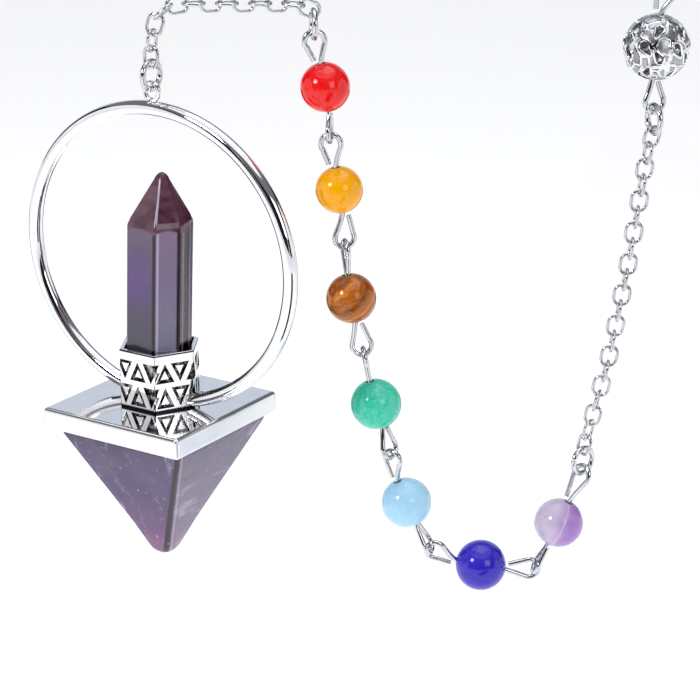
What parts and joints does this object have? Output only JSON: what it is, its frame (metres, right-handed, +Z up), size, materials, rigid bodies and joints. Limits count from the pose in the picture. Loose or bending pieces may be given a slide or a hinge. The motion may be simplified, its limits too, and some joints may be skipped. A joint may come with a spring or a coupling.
{
  "type": "pendulum pendant",
  "caption": "Hoop pendulum with a hexagonal quartz point in a pierced-look collar above an inverted stone pyramid, on a fine chain with stone beads and an openwork ball.",
  "frame": {"origin": "where the strand is held, straight above the setting; the strand goes on from there over a second support", "axes": "+Z up along the pendant's axis, the hoop in the XZ plane, -Y to the hoop's front"},
  "size_m": [0.0719, 0.0455, 0.0761],
  "materials": {
    "silver": "polished silver plate",
    "dark_amethyst": "polished",
    "pale_amethyst": "polished",
    "stone_red": "polished",
    "stone_orange": "polished",
    "stone_tiger": "polished",
    "stone_green": "polished",
    "stone_sky": "polished",
    "stone_blue": "polished",
    "stone_violet": "polished"
  },
  "bodies": {
    "chain": {"ring_top": "silver", "chain_left": "silver", "ring_left": "silver", "bead_red": "stone_red", "bead_orange": "stone_orange", "bead_tiger": "stone_tiger", "bead_green": "stone_green", "bead_sky": "stone_sky", "bead_blue": "stone_blue", "bead_violet": "stone_violet", "pin_red": "silver", "pin_orange": "silver", "pin_tiger": "silver", "pin_green": "silver", "pin_sky": "silver", "pin_blue": "silver", "pin_violet": "silver", "ring_cut": "silver", "chain_right": "silver", "ring_right": "silver", "ball": "silver", "pin_ball": "silver"},
    "pendant": {"setting": "silver", "crystal_point": "dark_amethyst", "pyramid": "pale_amethyst"}
  },
  "joints": [
    {"name": "pendant_swing", "type": "hinge", "parent": "chain", "child": "pendant", "pos_m": [0, 0, -0.0097], "axis": [0, 1, 0], "range_deg": [-50, 50]}
  ]
}
